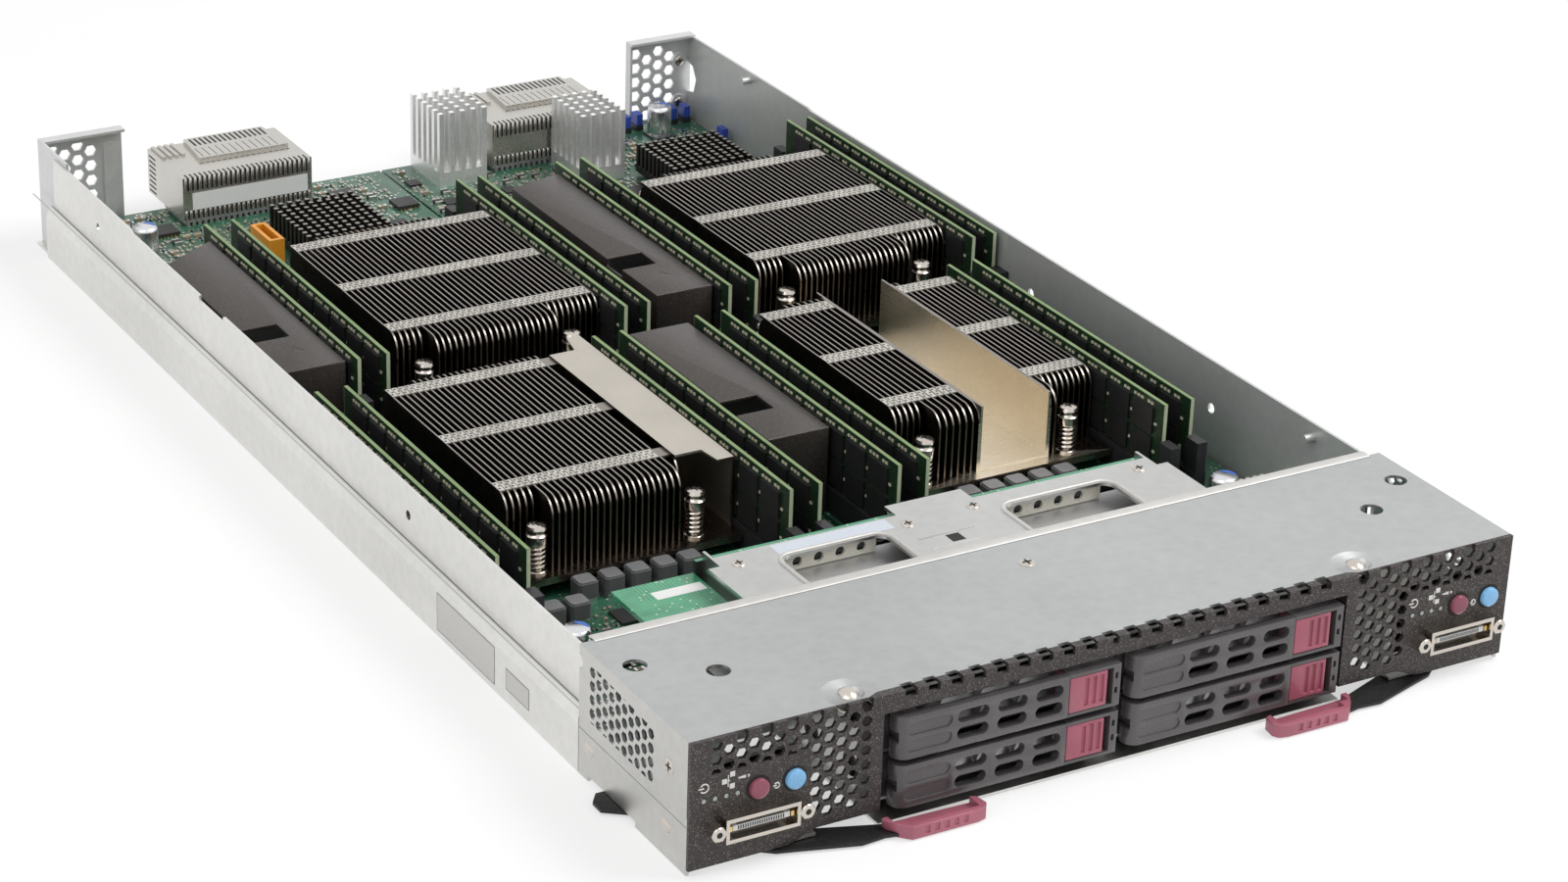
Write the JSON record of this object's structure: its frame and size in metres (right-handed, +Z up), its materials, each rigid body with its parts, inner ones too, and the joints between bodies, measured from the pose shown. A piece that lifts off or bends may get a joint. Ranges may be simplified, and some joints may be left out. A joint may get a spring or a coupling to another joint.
{
  "type": "blade server",
  "caption": "Flat twin-node blade server: open steel tray, finned heat sinks, memory rows, perforated bezel, drive carriers, ejector levers.",
  "frame": {"origin": "on the resting face, under the middle of the blade's length and width", "axes": "+X to the right seen from the bezel, +Y from the bezel towards the rear connectors, +Z up"},
  "size_m": [0.2986, 0.5382, 0.043],
  "materials": {
    "galvanised_steel": "galvanised sheet, faint grain",
    "bezel_powder_coat": "fine textured powder coat",
    "nickel_screw": "bright nickel plate",
    "circuit_board": "solder mask over glass fibre",
    "carrier_plastic": "moulded, fine texture",
    "drive_aluminium": "cast, satin",
    "burgundy_plastic": "moulded, satin",
    "lever_black": "black coat on steel",
    "blue_plastic": "moulded button",
    "port_steel": "nickel plated shell",
    "lamp_plastic": "clear light guides",
    "black_plastic": "moulded, satin",
    "fin_metal": "nickel plated fins",
    "black_sink": "black anodised",
    "bright_sink": "plain extruded",
    "header_plastic": "moulded"
  },
  "bodies": {
    "chassis": {"base_tray": "galvanised_steel", "left_wall": "galvanised_steel", "right_wall": "galvanised_steel", "rear_bracket_left": "galvanised_steel", "rear_bracket_right": "galvanised_steel", "front_lid": "galvanised_steel", "bezel": "bezel_powder_coat", "side_plates": "galvanised_steel", "cover_screws": "nickel_screw", "rivets": "nickel_screw", "drive_cage": "galvanised_steel", "drive_backplane": "circuit_board", "lever_pivots": "nickel_screw", "front_ports": "port_steel", "indicator_lights": "lamp_plastic", "mainboard_left": "circuit_board", "mainboard_right": "circuit_board", "memory_sockets": "black_plastic", "memory_modules_left": "circuit_board", "memory_modules_right": "circuit_board", "processor_sockets": "black_plastic", "processors": "port_steel", "heat_sink_rear_left": "fin_metal", "heat_sink_rear_right": "fin_metal", "heat_sink_front_left": "fin_metal", "heat_sink_front_right": "fin_metal", "spring_screws": "nickel_screw", "air_baffle_side": "black_plastic", "air_baffle_rear": "black_plastic", "air_baffle_front": "black_plastic", "chip_sinks": "black_sink", "tall_sinks": "bright_sink", "rear_connectors": "galvanised_steel", "capacitors": "bright_sink", "power_chokes": "black_plastic", "board_headers": "header_plastic"},
    "drive_unit_1": {"carrier_1": "carrier_plastic", "drive_1": "drive_aluminium"},
    "handle_1": {"carrier_handle_1": "carrier_plastic"},
    "latch_1": {"carrier_latch_1": "burgundy_plastic"},
    "drive_unit_2": {"carrier_2": "carrier_plastic", "drive_2": "drive_aluminium"},
    "handle_2": {"carrier_handle_2": "carrier_plastic"},
    "latch_2": {"carrier_latch_2": "burgundy_plastic"},
    "drive_unit_3": {"carrier_3": "carrier_plastic", "drive_3": "drive_aluminium"},
    "handle_3": {"carrier_handle_3": "carrier_plastic"},
    "latch_3": {"carrier_latch_3": "burgundy_plastic"},
    "drive_unit_4": {"carrier_4": "carrier_plastic", "drive_4": "drive_aluminium"},
    "handle_4": {"carrier_handle_4": "carrier_plastic"},
    "latch_4": {"carrier_latch_4": "burgundy_plastic"},
    "ejector_left": {"lever_arm_left": "lever_black", "lever_grip_left": "burgundy_plastic"},
    "ejector_right": {"lever_arm_right": "lever_black", "lever_grip_right": "burgundy_plastic"},
    "power_button_left_body": {"power_button_left": "burgundy_plastic"},
    "locator_button_left_body": {"locator_button_left": "blue_plastic"},
    "power_button_right_body": {"power_button_right": "burgundy_plastic"},
    "locator_button_right_body": {"locator_button_right": "blue_plastic"}
  },
  "joints": [
    {"name": "drive_1_slide", "type": "slide", "parent": "chassis", "child": "drive_unit_1", "axis": [0, -1, 0], "range_m": [0, 0.095]},
    {"name": "handle_1_hinge", "type": "hinge", "parent": "drive_unit_1", "child": "handle_1", "pos_m": [-0.07315, -0.2555, 0.0117], "axis": [0, 0, -1], "range_deg": [0, 60]},
    {"name": "latch_1_slide", "type": "slide", "parent": "drive_unit_1", "child": "latch_1", "axis": [1, 0, 0], "range_m": [0, 0.0015], "stiffness_N_per_m": 500},
    {"name": "drive_2_slide", "type": "slide", "parent": "chassis", "child": "drive_unit_2", "axis": [0, -1, 0], "range_m": [0, 0.095]},
    {"name": "handle_2_hinge", "type": "hinge", "parent": "drive_unit_2", "child": "handle_2", "pos_m": [0.00735, -0.2555, 0.0117], "axis": [0, 0, -1], "range_deg": [0, 60]},
    {"name": "latch_2_slide", "type": "slide", "parent": "drive_unit_2", "child": "latch_2", "axis": [1, 0, 0], "range_m": [0, 0.0015], "stiffness_N_per_m": 500},
    {"name": "drive_3_slide", "type": "slide", "parent": "chassis", "child": "drive_unit_3", "axis": [0, -1, 0], "range_m": [0, 0.095]},
    {"name": "handle_3_hinge", "type": "hinge", "parent": "drive_unit_3", "child": "handle_3", "pos_m": [-0.07315, -0.2555, 0.0275], "axis": [0, 0, -1], "range_deg": [0, 60]},
    {"name": "latch_3_slide", "type": "slide", "parent": "drive_unit_3", "child": "latch_3", "axis": [1, 0, 0], "range_m": [0, 0.0015], "stiffness_N_per_m": 500},
    {"name": "drive_4_slide", "type": "slide", "parent": "chassis", "child": "drive_unit_4", "axis": [0, -1, 0], "range_m": [0, 0.095]},
    {"name": "handle_4_hinge", "type": "hinge", "parent": "drive_unit_4", "child": "handle_4", "pos_m": [0.00735, -0.2555, 0.0275], "axis": [0, 0, -1], "range_deg": [0, 60]},
    {"name": "latch_4_slide", "type": "slide", "parent": "drive_unit_4", "child": "latch_4", "axis": [1, 0, 0], "range_m": [0, 0.0015], "stiffness_N_per_m": 500},
    {"name": "ejector_left_hinge", "type": "hinge", "parent": "chassis", "child": "ejector_left", "pos_m": [-0.12775, -0.2379, 0.0011], "axis": [0, 0, -1], "range_deg": [0, 45]},
    {"name": "ejector_right_hinge", "type": "hinge", "parent": "chassis", "child": "ejector_right", "pos_m": [0.12775, -0.2379, 0.0011], "axis": [0, 0, 1], "range_deg": [0, 45]},
    {"name": "power_button_left_push", "type": "slide", "parent": "chassis", "child": "power_button_left_body", "axis": [0, 1, 0], "range_m": [0, 0.001], "stiffness_N_per_m": 1000},
    {"name": "locator_button_left_push", "type": "slide", "parent": "chassis", "child": "locator_button_left_body", "axis": [0, 1, 0], "range_m": [0, 0.001], "stiffness_N_per_m": 1000},
    {"name": "power_button_right_push", "type": "slide", "parent": "chassis", "child": "power_button_right_body", "axis": [0, 1, 0], "range_m": [0, 0.001], "stiffness_N_per_m": 1000},
    {"name": "locator_button_right_push", "type": "slide", "parent": "chassis", "child": "locator_button_right_body", "axis": [0, 1, 0], "range_m": [0, 0.001], "stiffness_N_per_m": 1000}
  ]
}
